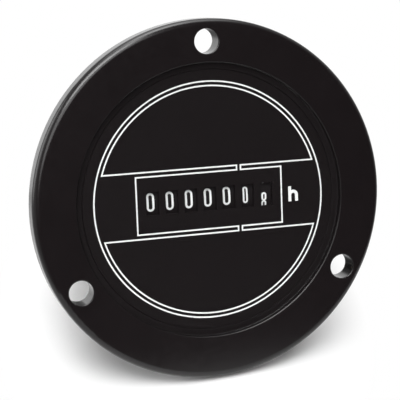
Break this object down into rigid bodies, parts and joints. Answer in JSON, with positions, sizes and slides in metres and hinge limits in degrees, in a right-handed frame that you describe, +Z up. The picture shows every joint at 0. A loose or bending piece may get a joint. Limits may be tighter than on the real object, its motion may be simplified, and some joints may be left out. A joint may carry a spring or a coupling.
{
  "type": "hour meter",
  "caption": "Round panel hour meter: black flange with fixing holes, clear lens over a printed dial, number drums turned by a geared stepping motor, flat rear terminals.",
  "frame": {"origin": "centre of the flange's back face, which lies on the panel", "axes": "+Z up, +X right and -Y towards the reader when the dial is seen from the front; +Y runs into the panel"},
  "size_m": [0.0694, 0.0467, 0.0694],
  "materials": {
    "case_black": "satin black moulding",
    "lens_clear": "clear and polished",
    "dial_black": "matt black print",
    "print_white": "matt white ink",
    "drum_black": "matt black moulding",
    "pinion_cream": "plain moulding",
    "frame_steel": "zinc-plated sheet",
    "shaft_steel": "ground",
    "screw_steel": "zinc-plated",
    "brass": "bright",
    "copper": "enamelled wire",
    "board_green": "solder mask",
    "component_black": "moulded",
    "component_sleeve": "shrunk sleeve",
    "magnet_grey": "sintered"
  },
  "bodies": {
    "housing": {"case": "case_black", "lens": "lens_clear", "dial": "dial_black", "dial_print": "print_white", "rear_cover": "case_black", "cover_screws": "screw_steel", "blade_positive": "brass", "blade_negative": "brass", "circuit_board": "board_green", "capacitor": "component_sleeve", "crystal": "shaft_steel", "driver_chip": "component_black", "diode": "component_black", "resistors": "component_black", "coil_pins": "copper", "frame_left": "frame_steel", "frame_right": "frame_steel", "frame_posts": "shaft_steel", "frame_screws": "screw_steel", "carry_shaft": "shaft_steel", "middle_arbor": "shaft_steel", "first_arbor": "shaft_steel", "gear_bridge": "brass", "bridge_pillars": "brass", "bridge_screws": "screw_steel", "motor_can_left": "frame_steel", "motor_can_right": "frame_steel", "motor_bobbin": "pinion_cream", "motor_winding": "copper"},
    "count_drum": {"drum_7": "drum_black", "digits_7": "print_white", "drum_shaft": "shaft_steel", "drive_gear": "pinion_cream"},
    "middle_wheel": {"middle_gear": "pinion_cream"},
    "first_wheel": {"first_gear": "pinion_cream"},
    "rotor": {"rotor_magnet": "magnet_grey", "rotor_shaft": "shaft_steel"},
    "number_drum_6": {"drum_6": "drum_black", "digits_6": "print_white"},
    "number_drum_5": {"drum_5": "drum_black", "digits_5": "print_white"},
    "number_drum_4": {"drum_4": "drum_black", "digits_4": "print_white"},
    "number_drum_3": {"drum_3": "drum_black", "digits_3": "print_white"},
    "number_drum_2": {"drum_2": "drum_black", "digits_2": "print_white"},
    "number_drum_1": {"drum_1": "drum_black", "digits_1": "print_white"},
    "carry_wheel_6": {"carry_pinion_6": "pinion_cream"},
    "carry_wheel_5": {"carry_pinion_5": "pinion_cream"},
    "carry_wheel_4": {"carry_pinion_4": "pinion_cream"},
    "carry_wheel_3": {"carry_pinion_3": "pinion_cream"},
    "carry_wheel_2": {"carry_pinion_2": "pinion_cream"},
    "carry_wheel_1": {"carry_pinion_1": "pinion_cream"}
  },
  "joints": [
    {"name": "count_turn", "type": "hinge", "parent": "housing", "child": "count_drum", "pos_m": [0, 0.00617, 0], "axis": [1, 0, 0], "continuous": true},
    {"name": "middle_turn", "type": "hinge", "parent": "housing", "child": "middle_wheel", "pos_m": [0, 0.01369, -0.00274], "axis": [1, 0, 0], "continuous": true},
    {"name": "first_turn", "type": "hinge", "parent": "housing", "child": "first_wheel", "pos_m": [0, 0.01276, 0.00521], "axis": [1, 0, 0], "continuous": true},
    {"name": "rotor_turn", "type": "hinge", "parent": "housing", "child": "rotor", "pos_m": [0, 0.02067, 0.004], "axis": [1, 0, 0], "continuous": true},
    {"name": "drum_6_turn", "type": "hinge", "parent": "housing", "child": "number_drum_6", "pos_m": [0, 0.00617, 0], "axis": [1, 0, 0], "continuous": true},
    {"name": "drum_5_turn", "type": "hinge", "parent": "housing", "child": "number_drum_5", "pos_m": [0, 0.00617, 0], "axis": [1, 0, 0], "continuous": true},
    {"name": "drum_4_turn", "type": "hinge", "parent": "housing", "child": "number_drum_4", "pos_m": [0, 0.00617, 0], "axis": [1, 0, 0], "continuous": true},
    {"name": "drum_3_turn", "type": "hinge", "parent": "housing", "child": "number_drum_3", "pos_m": [0, 0.00617, 0], "axis": [1, 0, 0], "continuous": true},
    {"name": "drum_2_turn", "type": "hinge", "parent": "housing", "child": "number_drum_2", "pos_m": [0, 0.00617, 0], "axis": [1, 0, 0], "continuous": true},
    {"name": "drum_1_turn", "type": "hinge", "parent": "housing", "child": "number_drum_1", "pos_m": [0, 0.00617, 0], "axis": [1, 0, 0], "continuous": true},
    {"name": "carry_6_turn", "type": "hinge", "parent": "housing", "child": "carry_wheel_6", "pos_m": [0, 0.01139, -0.00745], "axis": [1, 0, 0], "continuous": true},
    {"name": "carry_5_turn", "type": "hinge", "parent": "housing", "child": "carry_wheel_5", "pos_m": [0, 0.01139, -0.00745], "axis": [1, 0, 0], "continuous": true},
    {"name": "carry_4_turn", "type": "hinge", "parent": "housing", "child": "carry_wheel_4", "pos_m": [0, 0.01139, -0.00745], "axis": [1, 0, 0], "continuous": true},
    {"name": "carry_3_turn", "type": "hinge", "parent": "housing", "child": "carry_wheel_3", "pos_m": [0, 0.01139, -0.00745], "axis": [1, 0, 0], "continuous": true},
    {"name": "carry_2_turn", "type": "hinge", "parent": "housing", "child": "carry_wheel_2", "pos_m": [0, 0.01139, -0.00745], "axis": [1, 0, 0], "continuous": true},
    {"name": "carry_1_turn", "type": "hinge", "parent": "housing", "child": "carry_wheel_1", "pos_m": [0, 0.01139, -0.00745], "axis": [1, 0, 0], "continuous": true}
  ],
  "couplings": [
    {"joint": "middle_turn", "follows": "count_turn", "ratio": -3},
    {"joint": "first_turn", "follows": "count_turn", "ratio": 9},
    {"joint": "rotor_turn", "follows": "count_turn", "ratio": -36},
    {"joint": "drum_6_turn", "follows": "count_turn", "ratio": 0.1},
    {"joint": "drum_5_turn", "follows": "count_turn", "ratio": 0.01},
    {"joint": "drum_4_turn", "follows": "count_turn", "ratio": 0.001},
    {"joint": "drum_3_turn", "follows": "count_turn", "ratio": 0.0001},
    {"joint": "drum_2_turn", "follows": "count_turn", "ratio": 0.00001},
    {"joint": "drum_1_turn", "follows": "count_turn", "ratio": 0.000001},
    {"joint": "carry_6_turn", "follows": "count_turn", "ratio": -0.25},
    {"joint": "carry_5_turn", "follows": "count_turn", "ratio": -0.025},
    {"joint": "carry_4_turn", "follows": "count_turn", "ratio": -0.0025},
    {"joint": "carry_3_turn", "follows": "count_turn", "ratio": -0.00025},
    {"joint": "carry_2_turn", "follows": "count_turn", "ratio": -0.000025},
    {"joint": "carry_1_turn", "follows": "count_turn", "ratio": -0.0000025}
  ]
}
